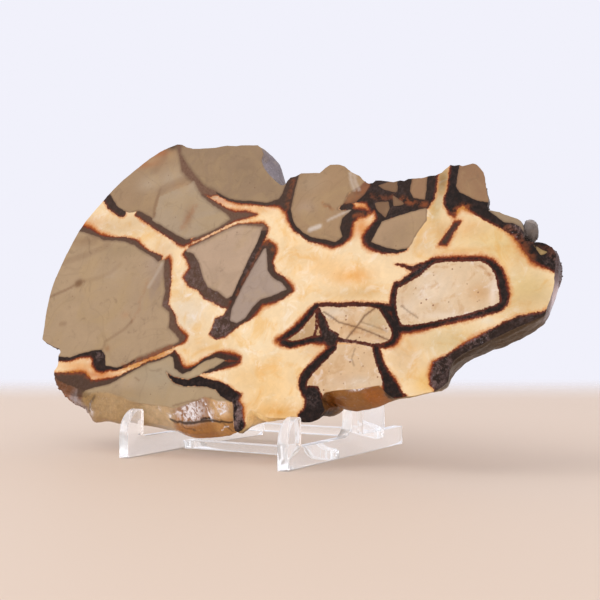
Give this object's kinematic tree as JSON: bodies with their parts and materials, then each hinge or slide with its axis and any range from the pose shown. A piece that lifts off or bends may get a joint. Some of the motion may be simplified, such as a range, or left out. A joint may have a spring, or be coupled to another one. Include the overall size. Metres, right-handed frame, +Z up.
{
  "type": "septarian nodule slab on an easel",
  "caption": "Slab sawn from a septarian nodule, with a polished veined face and a rough rind, leaning on a small clear plastic easel.",
  "frame": {"origin": "middle of the part's bounding box in X and Y, at the surface that the easel stands on", "axes": "+X along the slab's length to the right of its polished face, +Y to the back of the easel, +Z up"},
  "size_m": [0.147, 0.064, 0.0847],
  "materials": {
    "septarian_stone": "polished face with cream to golden calcite, black-brown aragonite bands and grey-brown mudstone; rough matt rind",
    "clear_plastic": "clear moulded plastic, glossy"
  },
  "bodies": {
    "root": {"slab": "septarian_stone", "side_frame_left": "clear_plastic", "side_frame_right": "clear_plastic", "front_bar": "clear_plastic", "rear_bar": "clear_plastic"}
  },
  "joints": []
}
